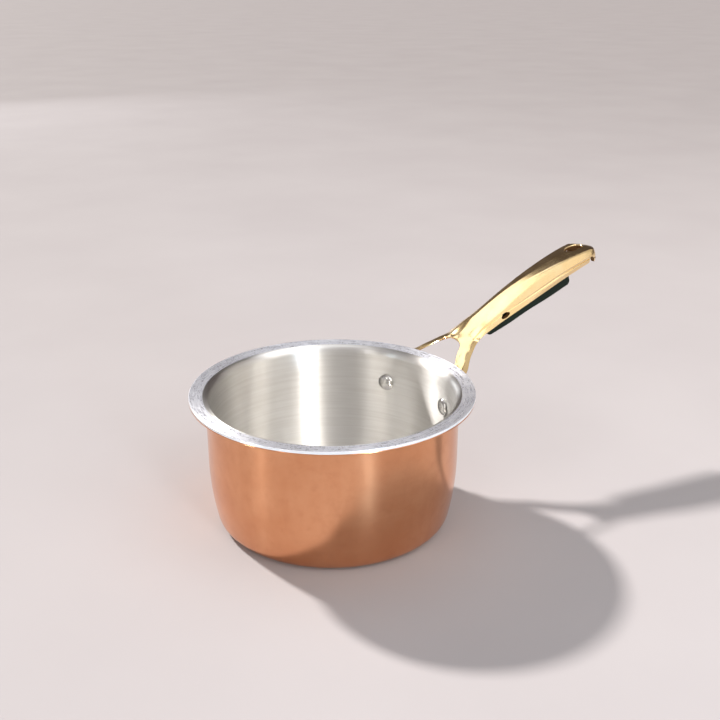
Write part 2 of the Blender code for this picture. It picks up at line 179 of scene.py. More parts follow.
# ---------------------------------------------------------------- materials
class Look:
    """A procedural material: node() adds a node and returns one output."""

    MIX_FACTOR, MIX_COLOURS, MIX_RESULT = 0, (6, 7), 2     # sockets for colours
    BRUSH_TURN = 0.25                                      # brushed round the axis

    def __init__(self, name, metallic, roughness):
        self.material = bpy.data.materials.new(name)
        self.material.use_nodes = True
        self.tree = self.material.node_tree
        self.shader = self.tree.nodes["Principled BSDF"]
        self.shader.inputs["Metallic"].default_value = metallic
        self.shader.inputs["Roughness"].default_value = roughness

    def node(self, kind, output=0, inputs=None, **settings):
        node = self.tree.nodes.new("ShaderNode" + kind)
        for key, value in settings.items():
            setattr(node, key, value)
        for key, value in (inputs or {}).items():
            if isinstance(value, bpy.types.NodeSocket):
                self.tree.links.new(value, node.inputs[key])
            else:
                node.inputs[key].default_value = value
        return node.outputs[output]

    def math(self, operation, first, second):
        return self.node("Math", operation=operation, inputs={0: first, 1: second})

    def place(self):
        """Coordinates in metres, in the object's own frame."""
        return self.node("TexCoord", "Object")

    def ring(self, around, along):
        """Coordinates that run round the vessel and across its section."""
        place = self.place()
        flat = self.node("VectorMath", operation="MULTIPLY",
                         inputs={0: place, 1: (1.0, 1.0, 0.0)})
        unit = self.node("VectorMath", operation="NORMALIZE", inputs={0: flat})
        wide = self.node("VectorMath", operation="SCALE", inputs={0: unit, "Scale": around})
        radius = self.node("VectorMath", "Value", operation="LENGTH", inputs={0: flat})
        split = self.node("SeparateXYZ", "Z", inputs={0: place})
        across = self.math("MULTIPLY", self.math("ADD", split, radius), along)
        lift = self.node("CombineXYZ", inputs={"Z": across})
        return self.node("VectorMath", operation="ADD", inputs={0: wide, 1: lift})

    def stretched(self, x, y, z):
        """The same coordinates, scaled along each axis."""
        return self.node("VectorMath", operation="MULTIPLY",
                         inputs={0: self.place(), 1: (x, y, z)})

    def noise(self, vector, scale, detail=4.0, rough=0.55, distortion=0.0):
        return self.node("TexNoise", "Fac", inputs={
            "Vector": vector, "Scale": scale, "Detail": detail,
            "Roughness": rough, "Distortion": distortion})

    def remap(self, value, low, high, to_low=0.0, to_high=1.0):
        return self.node("MapRange", inputs={
            "Value": value, "From Min": low, "From Max": high,
            "To Min": to_low, "To Max": to_high})

    def mix(self, factor, first, second):
        """Colour mix; each colour is another output or red, green, blue."""
        node = self.tree.nodes.new("ShaderNodeMix")
        node.data_type = "RGBA"
        self.tree.links.new(factor, node.inputs[self.MIX_FACTOR])
        for number, value in zip(self.MIX_COLOURS, (first, second)):
            if isinstance(value, bpy.types.NodeSocket):
                self.tree.links.new(value, node.inputs[number])
            else:
                node.inputs[number].default_value = (*value, 1.0)
        return node.outputs[self.MIX_RESULT]

    def colour(self, value):
        self.tree.links.new(value, self.shader.inputs["Base Color"])

    def rough(self, value):
        self.tree.links.new(value, self.shader.inputs["Roughness"])

    def bump(self, layers):
        """Bump from (height output, strength, distance) layers."""
        normal = None
        for height, strength, distance in layers:
            inputs = {"Height": height, "Strength": strength, "Distance": distance}
            if normal:
                inputs["Normal"] = normal
            normal = self.node("Bump", inputs=inputs)
        self.tree.links.new(normal, self.shader.inputs["Normal"])

    def brushed(self, amount):
        self.shader.inputs["Anisotropic"].default_value = amount
        self.shader.inputs["Anisotropic Rotation"].default_value = self.BRUSH_TURN
        tangent = self.node("Tangent", direction_type="RADIAL", axis="Z")
        self.tree.links.new(tangent, self.shader.inputs["Tangent"])


def copper_look():
    look = Look("satin_copper", 1.0, 0.3)
    cloud = look.noise(look.place(), scale=26.0, detail=5.0, rough=0.6, distortion=0.4)
    fleck = look.noise(look.place(), scale=150.0, detail=5.0, rough=0.65)
    strand = look.noise(look.ring(2.2, 900.0), scale=1.0, detail=3.0, rough=0.6)
    tall = look.noise(look.stretched(60.0, 60.0, 9.0), scale=1.0, detail=3.0, rough=0.55)
    warm = look.mix(look.remap(cloud, 0.35, 0.68), (0.715, 0.322, 0.162), (0.81, 0.402, 0.216))
    aged = look.mix(look.remap(tall, 0.52, 0.72, 0.0, 0.45), warm, (0.70, 0.31, 0.155))
    dull = look.mix(look.remap(fleck, 0.48, 0.76, 0.0, 0.42), aged, (0.60, 0.26, 0.135))
    look.colour(dull)
    haze = look.noise(look.place(), scale=24.0, detail=1.0)
    look.rough(look.remap(haze, 0.3, 0.7, 0.165, 0.19))
    look.bump([(strand, 0.03, 0.00006)])
    look.brushed(0.82)
    return look.material


def steel_look():
    look = Look("brushed_steel", 1.0, 0.3)
    line = look.noise(look.ring(4.0, 2600.0), scale=1.0, detail=3.0, rough=0.65)
    band = look.noise(look.ring(1.4, 520.0), scale=1.0, detail=4.0, rough=0.6)
    cloud = look.noise(look.place(), scale=30.0, detail=4.0, rough=0.6)
    base = look.mix(look.remap(band, 0.35, 0.65), (0.80, 0.785, 0.76), (0.87, 0.86, 0.84))
    look.colour(look.mix(look.remap(cloud, 0.5, 0.75, 0.0, 0.35), base, (0.76, 0.73, 0.68)))
    look.rough(look.math("ADD", look.remap(line, 0.3, 0.7, 0.29, 0.37),
                         look.remap(cloud, 0.35, 0.7, 0.0, 0.06)))
    look.bump([(line, 0.03, 0.00006), (band, 0.004, 0.0001)])
    look.brushed(0.94)
    return look.material


def lip_look():
    look = Look("scuffed_steel", 0.76, 0.36)
    grit = look.noise(look.place(), scale=900.0, detail=3.0, rough=0.8)
    scuff = look.noise(look.ring(7.0, 900.0), scale=1.0, detail=5.0, rough=0.7, distortion=0.8)
    cross = look.noise(look.ring(26.0, 150.0), scale=1.0, detail=5.0, rough=0.7, distortion=0.8)
    base = look.mix(look.remap(scuff, 0.38, 0.62), (0.72, 0.735, 0.81), (0.86, 0.87, 0.93))
    look.colour(look.mix(look.remap(cross, 0.5, 0.7, 0.0, 0.5), base, (0.44, 0.455, 0.55)))
    look.rough(look.math("ADD", look.remap(scuff, 0.35, 0.65, 0.26, 0.44),
                         look.remap(grit, 0.4, 0.7, -0.06, 0.10)))
    look.bump([(grit, 0.08, 0.0002), (scuff, 0.10, 0.0002), (cross, 0.06, 0.0004)])
    look.brushed(0.75)
    return look.material


def aluminium_look():
    look = Look("cut_aluminium", 0.6, 0.25)
    line = look.noise(look.ring(3.0, 4000.0), scale=1.0, detail=3.0, rough=0.6)
    look.colour(look.mix(look.remap(line, 0.3, 0.7), (0.86, 0.87, 0.89), (0.95, 0.95, 0.96)))
    look.rough(look.remap(line, 0.3, 0.7, 0.14, 0.26))
    look.bump([(line, 0.1, 0.0001)])
    return look.material


def brass_look():
    look = Look("polished_brass", 1.0, 0.26)
    cloud = look.noise(look.place(), scale=55.0, detail=4.0, rough=0.6)
    fine = look.noise(look.stretched(260.0, 1400.0, 1400.0), scale=1.0, detail=3.0, rough=0.65)
    wave = look.noise(look.place(), scale=90.0, detail=2.0, rough=0.5)
    nick = look.noise(look.place(), scale=700.0, detail=2.0, rough=0.6)
    base = look.mix(look.remap(cloud, 0.35, 0.7), (0.90, 0.665, 0.335), (0.94, 0.725, 0.405))
    look.colour(look.mix(look.remap(nick, 0.68, 0.78, 0.0, 0.5), base, (0.80, 0.60, 0.32)))
    look.rough(look.math("ADD", look.remap(fine, 0.3, 0.7, 0.15, 0.20),
                         look.remap(cloud, 0.4, 0.7, 0.0, 0.05)))
    look.bump([(wave, 0.04, 0.0004), (fine, 0.02, 0.00003)])
    return look.material


def shaded_inside_look():
    """Inside of the casting: rough like unpolished brass, with its colour darkened nearly to
    black as painted shade.
    """
    look = Look("cast_brass_painted_shade", 0.7, 0.6)
    cloud = look.noise(look.place(), scale=180.0, detail=4.0, rough=0.6)
    grain = look.noise(look.place(), scale=1500.0, detail=3.0, rough=0.6)
    # Near-black brown is painted shade for the hollow inside and for the walls of the cuts.
    look.colour(look.mix(look.remap(cloud, 0.35, 0.7), (0.13, 0.06, 0.018), (0.20, 0.10, 0.03)))
    look.rough(look.remap(cloud, 0.3, 0.7, 0.5, 0.7))
    look.bump([(grain, 0.4, 0.0002), (cloud, 0.2, 0.0005)])
    return look.material


def rivet_look():
    look = Look("polished_steel", 1.0, 0.14)
    cloud = look.noise(look.place(), scale=320.0, detail=4.0, rough=0.6)
    scratch = look.noise(look.stretched(500.0, 2400.0, 1200.0), scale=1.0, detail=3.0, rough=0.7)
    look.colour(look.mix(look.remap(cloud, 0.35, 0.7), (0.66, 0.65, 0.63), (0.82, 0.81, 0.79)))
    look.rough(look.remap(scratch, 0.3, 0.7, 0.10, 0.24))
    look.bump([(cloud, 0.25, 0.0004), (scratch, 0.08, 0.0001)])
    return look.material


def grip_look():
    look = Look("dark_green_silicone", 0.0, 0.6)
    cloud = look.noise(look.place(), scale=60.0, detail=4.0, rough=0.6)
    grain = look.noise(look.place(), scale=2200.0, detail=2.0, rough=0.6)
    dust = look.noise(look.place(), scale=420.0, detail=5.0, rough=0.8)
    base = look.mix(look.remap(cloud, 0.35, 0.7), (0.003, 0.008, 0.004), (0.005, 0.012, 0.0065))
    look.colour(look.mix(look.remap(dust, 0.62, 0.8, 0.0, 0.3), base, (0.02, 0.03, 0.02)))
    look.rough(look.remap(cloud, 0.3, 0.7, 0.5, 0.66))
    look.bump([(grain, 0.35, 0.0002), (cloud, 0.1, 0.0004)])
    look.shader.inputs["Specular IOR Level"].default_value = 0.15
    return look.material


def floor_look():
    look = Look("pale_floor", 0.0, 0.85)
    cloud = look.noise(look.place(), scale=5.0, detail=4.0, rough=0.5)
    look.colour(look.mix(look.remap(cloud, 0.3, 0.7), (0.36, 0.335, 0.34), (0.38, 0.355, 0.36)))
    look.shader.inputs["Specular IOR Level"].default_value = 0.2
    return look.material


# ------------------------------------------------------------------ geometry
def arc(centre, radius, start, end, segments):
    """Points on an arc, both ends included; angles in radians."""
    return [(centre[0] + radius * math.cos(start + (end - start) * i / segments),
             centre[1] + radius * math.sin(start + (end - start) * i / segments))
            for i in range(segments + 1)]


def line(start, end, segments):
    """Points on a straight line, both ends included."""
    return [(start[0] + (end[0] - start[0]) * i / segments,
             start[1] + (end[1] - start[1]) * i / segments)
            for i in range(segments + 1)]


def vessel_surface(depth, inset=0.0):
    """Half section of the vessel at a depth below its outer face, from the
    axis at the base to a short inset from the edge of the lip."""
    belly_x = BODY_RADIUS - BELLY_RADIUS
    reach = BELLY_RADIUS - CORNER_RADIUS
    corner_x = belly_x + reach * math.cos(WALL_LEAN)
    belly_z = CORNER_RADIUS + reach * math.sin(WALL_LEAN)
    corner = arc((corner_x, CORNER_RADIUS), CORNER_RADIUS - depth,
                 -0.5 * math.pi, -WALL_LEAN, CORNER_STEPS)
    belly = arc((belly_x, belly_z), BELLY_RADIUS - depth, -WALL_LEAN, 0.0, BELLY_STEPS)
    bend_x = BODY_RADIUS + LIP_BEND
    lip_top = HEIGHT - WALL / math.cos(LIP_RISE)
    bend_z = lip_top - (LIP_RADIUS - bend_x) * math.tan(LIP_RISE) - LIP_BEND / math.cos(LIP_RISE)
    bend = arc((bend_x, bend_z), LIP_BEND + depth,
               math.pi, 0.5 * math.pi + LIP_RISE, BEND_STEPS)
    edge = (LIP_RADIUS - inset,
            lip_top + depth / math.cos(LIP_RISE) - inset * math.tan(LIP_RISE))
    return (line((0.0, depth), corner[0], FLOOR_STEPS) + corner[1:] + belly[1:]
            + line(belly[-1], bend[0], WALL_STEPS)[1:] + bend[1:]
            + line(bend[-1], edge, LIP_STEPS)[1:])


def ply_profile(depths):
    """Closed section of one ply, with its cut edge rounded."""
    outer = vessel_surface(depths[0], EDGE_ROUND)
    inner = vessel_surface(depths[1], EDGE_ROUND)
    low, high = outer[-1], inner[-1]
    turn = min(EDGE_ROUND, 0.5 * (high[1] - low[1]))
    cap = arc((low[0], low[1] + turn), turn, -0.5 * math.pi, 0.0, CUT_STEPS)[1:]
    cap += arc((high[0], high[1] - turn), turn, 0.0, 0.5 * math.pi, CUT_STEPS)[:-1]
    return outer + cap + inner[::-1]


def turned_mesh(name, profile, turns, finish_of=None):
    """Surface of revolution about Z through (radius, height) points; points
    on the axis become single vertices. finish_of gives the material of each
    step of the profile."""
    mesh = bpy.data.meshes.new(name)
    bm = bmesh.new()
    rings = []
    for radius, height in profile:
        if radius < ON_AXIS:
            rings.append([bm.verts.new((0.0, 0.0, height))] * turns)
            continue
        rings.append([bm.verts.new((radius * math.cos(math.tau * k / turns),
                                    radius * math.sin(math.tau * k / turns), height))
                      for k in range(turns)])
    for step, (first, second) in enumerate(zip(rings, rings[1:])):
        finish = finish_of(step) if finish_of else 0
        for k in range(turns):
            after = (k + 1) % turns
            corners = list(dict.fromkeys((first[k], first[after], second[after], second[k])))
            if len(corners) < 3:
                continue
            face = bm.faces.new(corners)
            face.smooth = True
            face.material_index = finish
    bmesh.ops.recalc_face_normals(bm, faces=bm.faces)
    bm.to_mesh(mesh)
    bm.free()
    return mesh


def piece(name, mesh, materials, nodes):
    """Puts a mesh into the scene as the stand-in for CAD nodes; materials
    are added to those that the mesh already has."""
    thing = bpy.data.objects.new(name, mesh)
    bpy.context.scene.collection.objects.link(thing)
    for material in materials:
        mesh.materials.append(material)
    mesh.set_sharp_from_angle(angle=SHARP_ANGLE)
    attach(thing, "root")
    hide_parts(*nodes)
    return thing


def baked(thing):
    """The object's mesh with its modifiers applied; the object is removed."""
    graph = bpy.context.evaluated_depsgraph_get()
    mesh = bpy.data.meshes.new_from_object(thing.evaluated_get(graph))
    bpy.data.objects.remove(thing)
    return mesh


# -------------------------------------------------------------------- vessel
def radial(angle, height):
    """Placement whose Z axis points straight out from the vessel's axis."""
    lift = Matrix.Translation((0.0, 0.0, height))
    return lift @ Matrix.Rotation(angle, 4, "Z") @ Matrix.Rotation(0.5 * math.pi, 4, "Y")


def lining_finish(step):
    """Finish of the lining at a step of its section: bright on the cut edge,
    scuffed from there to just round the bend of the lip, brushed elsewhere."""
    lip_start = SECTION_STEPS + 2 * CUT_STEPS
    lip_end = lip_start + LIP_STEPS + 2
    if SECTION_STEPS <= step < lip_start:
        return 2
    return 1 if lip_start <= step < lip_end else 0


def make_vessel(copper, aluminium, steel, lip):
    shell = turned_mesh("copper_skin", ply_profile(COPPER_DEPTH), TURNS)
    piece("copper_skin", shell, [copper], ["copper_shell"])
    core = turned_mesh("core_layer", ply_profile(CORE_DEPTH), TURNS)
    piece("core_layer", core, [aluminium], ["aluminium_core"])
    lining = turned_mesh("steel_bowl", ply_profile(STEEL_DEPTH), TURNS, lining_finish)
    piece("steel_bowl", lining, [steel, lip, aluminium], ["steel_lining"])


# -------------------------------------------------------------------- rivets
def rivet_profile():
    """Domed head, shank and tail as (radius, height along the shank)."""
    head_seat = BODY_RADIUS - WALL - CLEARANCE - SEAT
    tail_seat = PAD_BACK + CASTING + CLEARANCE
    tail = [(TAIL_RADIUS * x, tail_seat + TAIL_RISE * z)
            for x, z in arc((0.0, 0.0), 1.0, 0.5 * math.pi, 0.0, TAIL_STEPS)]
    head = [(HEAD_RADIUS * x, head_seat + HEAD_RISE * z)
            for x, z in arc((0.0, 0.0), 1.0, 0.0, -0.5 * math.pi, HEAD_STEPS)]
    tail[0] = (0.0, tail_seat + TAIL_RISE)
    head[-1] = (0.0, head_seat - HEAD_RISE)
    shank_top, shank_foot = tail_seat - RIVET_LIP, head_seat + RIVET_LIP
    shank = [(TAIL_RADIUS - RIVET_LEAD, shank_top), (SHANK_RADIUS, shank_top),
             (SHANK_RADIUS, shank_foot), (HEAD_RADIUS - RIVET_LEAD, shank_foot)]
    return tail + shank + head


def make_rivets(material):
    for node, angle in (("rivet_left", RIVET_ANGLE), ("rivet_right", -RIVET_ANGLE)):
        mesh = turned_mesh(node + "_dome", rivet_profile(), RIVET_TURNS)
        mesh.transform(radial(angle, RIVET_HEIGHT))
        piece(node + "_dome", mesh, [material], [node])


# -------------------------------------------------------------------- handle
def on_pad(sideways, height):
    """Point on the back of a pad, sideways from its middle."""
    angle = RIVET_ANGLE + sideways / PAD_BACK
    return Vector((PAD_BACK * math.cos(angle), PAD_BACK * math.sin(angle), height))


def point_mm(x, y, z):
    return Vector((x, y, z)) * MM


def pad_stations():
    """Round lower end of a pad and its upright part."""
    stations = []
    for degrees in (80.0, 50.0, 22.0, 0.0):
        angle = math.radians(degrees)
        half = PAD_HALF * math.cos(angle)
        height = RIVET_HEIGHT - PAD_HALF * math.sin(angle)
        stations.append((on_pad(-half, height), on_pad(half, height)))
    for share in (0.6, 1.0):
        neck = PAD_HALF * (1.0 - PAD_TAPER * share)
        height = RIVET_HEIGHT + PAD_HALF * share
        stations.append((on_pad(-neck, height), on_pad(neck, height)))
    return stations


def arm_stations():
    """An arm from under the lip to the fork: inner edge and outer edge."""
    return [
        (point_mm(82.2, 21.5, 78.0), point_mm(80.4, 33.6, 76.6)),
        (point_mm(87.2, 20.2, 82.6), point_mm(88.6, 30.2, 80.0)),
        (point_mm(92.2, 18.2, 85.8), point_mm(96.8, 25.6, 82.6)),
        (point_mm(96.5, 15.0, 88.5), point_mm(101.6, 22.2, 85.6)),
        (point_mm(101.2, 12.1, 90.8), point_mm(106.4, 19.3, 88.1)),
        (point_mm(105.2, 9.8, 92.6), point_mm(111.2, 17.0, 90.7)),
        (point_mm(107.6, 7.0, 94.2), point_mm(115.2, 15.0, 92.4)),
        (point_mm(108.0, 3.6, 95.6), point_mm(118.6, 13.7, 93.6)),
    ]


def stem_stations():
    """The stem from the fork to the nose: ridge, crease and lower edge."""
    return [
        (point_mm(106.9, 0.0, 97.3), point_mm(109.4, 3.4, 97.3), point_mm(121.5, 13.0, 94.7)),
        (point_mm(112.0, 0.0, 100.6), point_mm(112.4, 3.5, 100.0), point_mm(125.5, 12.6, 96.2)),
        (point_mm(120.0, 0.0, 104.2), point_mm(120.4, 3.5, 103.3), point_mm(130.0, 12.3, 97.7)),
        (point_mm(130.0, 0.0, 107.9), point_mm(130.0, 3.1, 106.9), point_mm(136.5, 12.1, 99.5)),
        (point_mm(142.0, 0.0, 113.0), point_mm(142.0, 3.0, 112.0), point_mm(145.0, 11.7, 101.8)),
        (point_mm(156.0, 0.0, 118.5), point_mm(156.0, 3.7, 117.4), point_mm(157.0, 11.4, 104.9)),
        (point_mm(172.0, 0.0, 123.7), point_mm(172.0, 4.9, 122.5), point_mm(172.0, 11.3, 108.9)),
        (point_mm(190.0, 0.0, 128.7), point_mm(190.0, 6.4, 127.5), point_mm(190.0, 11.4, 114.0)),
        (point_mm(208.0, 0.0, 133.0), point_mm(208.0, 7.9, 131.7), point_mm(208.0, 11.7, 119.3)),
        (point_mm(224.0, 0.0, 136.2), point_mm(224.0, 9.4, 134.7), point_mm(224.0, 12.0, 123.6)),
        (point_mm(235.0, 0.0, 138.2), point_mm(235.0, 10.4, 136.3), point_mm(235.0, 12.2, 126.4)),
    ]


def nose_stations():
    """Quarter turn round the nose, from the side wall to the plane Y = 0."""
    ridge = Vector((NOSE_X, 0.0, NOSE_TOP))
    stations = []
    for step in range(NOSE_STEPS + 1):
        turn = 0.5 * math.pi * step / NOSE_STEPS
        forward, sideways = math.sin(turn), math.cos(turn)
        foot = NOSE_FOOT + NOSE_FOOT_RISE * max(0.0, 1.0 - 2.0 * forward)
        crease = Vector((NOSE_X + NOSE_SHOULDER * forward, NOSE_SHOULDER * sideways,
                         NOSE_SHOULDER_TOP - NOSE_CREASE_DROP * forward))
        edge = Vector((NOSE_X + NOSE_HALF * forward, NOSE_HALF * sideways, foot))
        stations.append((ridge, crease, edge))
    return stations


def smooth_path(points, per_span, beyond=None):
    """Catmull-Rom curve through the points; the end is steered by beyond."""
    result = []
    last = len(points) - 1
    path = points + [beyond or points[last]]
    for i in range(last):
        before, start, end, after = path[max(i - 1, 0)], path[i], path[i + 1], path[i + 2]
        for k in range(per_span):
            t = k / per_span
            result.append(0.5 * (2.0 * start + (end - before) * t
                                 + (2.0 * before - 5.0 * start + 4.0 * end - after) * t ** 2
                                 + (3.0 * start - before - 3.0 * end + after) * t ** 3))
    result.append(points[last].copy())
    return result


def handle_rails():
    """Ridge (or an arm's inner edge), crease and lower edge, row by row."""
    arm = [(inner, inner.lerp(outer, CREASE_SHARE), outer)
           for inner, outer in pad_stations() + arm_stations()]
    nose = nose_stations()
    side = arm + stem_stations() + nose[:1]
    fork = len(arm)
    across_fork = side[fork - 1][0] * Vector((1.0, -1.0, 1.0))
    ridge = smooth_path([s[0] for s in side[:fork + 1]], ROWS_PER_SPAN, across_fork)[:-1]
    ridge += smooth_path([s[0] for s in side[fork:]], ROWS_PER_SPAN)
    crease = smooth_path([s[1] for s in side], ROWS_PER_SPAN)
    edge = smooth_path([s[2] for s in side], ROWS_PER_SPAN)
    return list(zip(ridge, crease, edge)) + nose[1:]


def side_shares(length):
    """Shares of the side wall from crease to edge, close together at the
    bead along the lower edge."""
    bead = min(BEAD_WIDTH, BEAD_MOST * length)
    return [*SIDE_SHARES] + [1.0 - share * bead / length for share in BEAD_SHARES], bead


def bulge(start, end, share, amount):
    """Point between two edges of a side wall, pushed out along its normal."""
    run = Vector((end.x - start.x, end.y - start.y, 0.0))
    drop = start.z - end.z
    across = run.normalized() * drop + Vector((0.0, 0.0, run.length))
    return start.lerp(end, share) + across.normalized() * amount * math.sin(math.pi * share)


def clear_of_wall(point):
    """The same point, moved out to the back of the pads if it lies deeper."""
    radius = math.hypot(point.x, point.y)
    if radius >= PAD_BACK:
        return point
    return Vector((point.x * PAD_BACK / radius, point.y * PAD_BACK / radius, point.z))


def bead_rise(from_edge, x):
    """How far the side wall stands out at a distance from its lower edge, in
    bead widths: the bead, and the groove above it, from BEAD_START on."""
    step = min(max((BEAD_SLOPE[0] - from_edge) / BEAD_SLOPE[1], 0.0), 1.0)
    rise = BEAD_RISE * step * step * (3.0 - 2.0 * step)
    rise -= GROOVE_DEPTH * math.exp(-((from_edge - GROOVE_SHAPE[0]) / GROOVE_SHAPE[1]) ** 2)
    return rise * min(max((x - BEAD_START) / BEAD_FADE, 0.0), 1.0)


def handle_row(first, second, last):
    """One row of the casting's face from ridge to lower edge, with a rounded
    crease, and how far each point is raised."""
    length = (last - second).length
    shares, bead = side_shares(length)
    top = (second - first).length
    turn = min(CREASE_ROUND, CREASE_MOST * top)
    clear = turn * CREASE_CLEAR
    row = [first.lerp(second, share) for share in TOP_SHARES]
    before = second + (first - second).normalized() * turn
    below = bulge(second, last, min(turn / length, 0.5), SIDE_BULGE)
    for t in CREASE_SHARES:
        row.append(before * (1 - t) ** 2 + second * (2 * t * (1 - t)) + below * t ** 2)
    raised = [0.0] * len(row)
    for share in shares[1:]:
        if share * length <= clear:
            share = min(clear / length + 0.02 * share, share + turn / length)
        row.append(bulge(second, last, share, SIDE_BULGE))
        raised.append(bead_rise((1.0 - share) * length / bead, last.x))
    return [clear_of_wall(point) for point in row], raised


def handle_grid():
    """Rows of half the casting's face, and how far each point is raised."""
    grid, raised = [], []
    for rails in handle_rails():
        row, rises = handle_row(*rails)
        grid.append(row)
        raised.append(rises)
    for point in grid[-1]:
        point.y = 0.0
    return grid, raised


def handle_sheet(bm):
    """Both halves of the casting's face, joined on the plane Y = 0."""
    grid, raised = handle_grid()
    layer = bm.verts.layers.float.new("raised")
    for mirror in (1.0, -1.0):
        rows = []
        for row, rise in zip(grid, raised):
            verts = []
            for point, amount in zip(row, rise):
                vert = bm.verts.new((point.x, point.y * mirror, point.z))
                vert[layer] = amount
                verts.append(vert)
            rows.append(verts)
        for row, following in zip(rows, rows[1:]):
            for i in range(len(row) - 1):
                corners = [row[i], following[i], following[i + 1], row[i + 1]]
                bm.faces.new(corners if mirror < 0 else corners[::-1])
    bmesh.ops.remove_doubles(bm, verts=bm.verts, dist=0.008 * MM)
    bmesh.ops.dissolve_degenerate(bm, edges=bm.edges, dist=0.002 * MM)
    bmesh.ops.recalc_face_normals(bm, faces=bm.faces)
    soften_fork(bm)
    return layer


def fade(distance, reach):
    """1 at the centre, falling smoothly to 0 at the reach."""
    share = min(distance / reach, 1.0)
    return 1.0 - share * share * (3.0 - 2.0 * share)


def soften_fork(bm):
    """Blends the arms into the stem round the fork and rounds the crotch: a
    diffusion over the sheet that fades out away from the fork."""
    bm.verts.index_update()
    start = np.array([vert.co for vert in bm.verts])
    moving, near, pull = [], [], []
    for vert in bm.verts:
        distance = (vert.co - FORK_CENTRE).length
        edges = list(vert.link_edges)
        strength = FORK_SPREAD ** 2 * fade(distance, FORK_BLEND)
        if vert.is_boundary:
            edges = [edge for edge in edges if edge.is_boundary]
            strength = CROTCH_SPREAD ** 2 * fade(distance, CROTCH_BLEND)
        if strength > 0.0:
            spare = MOST_EDGES - len(edges)
            moving.append(vert.index)
            near.append([edge.other_vert(vert).index for edge in edges] + [0] * spare)
            pull.append([strength / max(edge.calc_length(), SHORT_EDGE) ** 2
                         for edge in edges] + [0.0] * spare)
    moving, near, pull = np.array(moving), np.array(near), np.array(pull)
    total = 1.0 + pull.sum(axis=1, keepdims=True)
    place = start.copy()
    for _ in range(FORK_PASSES):
        drawn = (place[near] * pull[:, :, None]).sum(axis=1)
        place[moving] = (start[moving] + drawn) / total
    for vert in bm.verts:
        vert.co = Vector(place[vert.index])


def wall_at(place):
    """Thickness of the casting, thinner along the arms."""
    from_pads = fade(ARMS_END[0] - place.x, ARMS_BLEND) if place.x < ARMS_END[0] else 1.0
    from_stem = fade(place.x - ARMS_END[1], ARMS_BLEND) if place.x > ARMS_END[1] else 1.0
    return CASTING * (1.0 - ARMS_THINNING * from_pads * from_stem)


def outward_of(boundary):
    """Direction away from the sheet at each vertex of its boundary edges."""
    outward = {}
    for edge in boundary:
        face = edge.link_faces[0]
        away = 0.5 * (edge.verts[0].co + edge.verts[1].co) - face.calc_center_median()
        along = (edge.verts[1].co - edge.verts[0].co).normalized()
        away -= along * away.dot(along)
        for v in edge.verts:
            outward[v] = outward.get(v, Vector()) + away.normalized()
    return outward


def thicken(bm, layer):
    """Gives the sheet its thickness, with a rounded rim all along its edge.
    The inside gets the second material, and the face its bead and groove."""
    bm.normal_update()
    faces = list(bm.faces)
    verts = list(bm.verts)
    top = max(verts, key=lambda v: v.co.z)
    if top.normal.z < 0.0:
        bmesh.ops.reverse_faces(bm, faces=faces)
        bm.normal_update()
    normals = {v: v.normal.copy() for v in verts}
    depth = {v: wall_at(v.co) for v in verts}
    inner = {v: bm.verts.new(v.co - normals[v] * depth[v]) for v in verts}
    boundary = [e for e in bm.edges if e.is_boundary]
    rims = {}
    for v, away in outward_of(boundary).items():
        n = normals[v]
        away = (away - n * away.dot(n)).normalized()
        middle = v.co - n * (0.5 * depth[v])
        rims[v] = [v]
        for k in range(1, RIM_STEPS):
            angle = math.pi * k / RIM_STEPS
            side, lift = math.sin(angle), math.cos(angle)
            rise = 0.5 * depth[v] * math.copysign(abs(lift) ** RIM_SQUARENESS, lift)
            out = RIM_BULGE * side ** RIM_SQUARENESS
            rims[v].append(bm.verts.new(middle + n * rise + away * out))
        rims[v].append(inner[v])
    for edge in boundary:
        a, b = edge.verts
        face = edge.link_faces[0]
        corners = [loop.vert for loop in face.loops]
        if corners[(corners.index(a) + 1) % len(corners)] == b:
            a, b = b, a
        for k in range(RIM_STEPS):
            bm.faces.new((rims[a][k], rims[b][k], rims[b][k + 1], rims[a][k + 1]))
    for face in faces:
        bm.faces.new([inner[loop.vert] for loop in face.loops][::-1]).material_index = 1
    for v in verts:
        v.co += normals[v] * v[layer]


def ellipse_cutter(name, half_x, half_y, profile, placement, materials):
    """Elliptic cutter: profile points are (outset, height) along its Z. The
    first step of the profile gives the cut the second material, rough and
    darkened as painted shade; the others give it the polished one."""
    mesh = bpy.data.meshes.new(name)
    bm = bmesh.new()
    rings = []
    for outset, height in profile:
        rings.append([bm.verts.new(((half_x + outset) * math.cos(math.tau * k / CUT_TURNS),
                                    (half_y + outset) * math.sin(math.tau * k / CUT_TURNS),
                                    height)) for k in range(CUT_TURNS)])
    for step, (first, second) in enumerate(zip(rings, rings[1:])):
        for k in range(CUT_TURNS):
            after = (k + 1) % CUT_TURNS
            face = bm.faces.new((first[k], first[after], second[after], second[k]))
            face.material_index = 1 if step == 0 else 0
    bm.faces.new(rings[0][::-1]).material_index = 1
    bm.faces.new(rings[-1]).material_index = 1
    bmesh.ops.recalc_face_normals(bm, faces=bm.faces)
    bm.to_mesh(mesh)
    bm.free()
    for material in materials:
        mesh.materials.append(material)
    cutter = bpy.data.objects.new(name, mesh)
    bpy.context.scene.collection.objects.link(cutter)
    cutter.matrix_world = placement
    return cutter


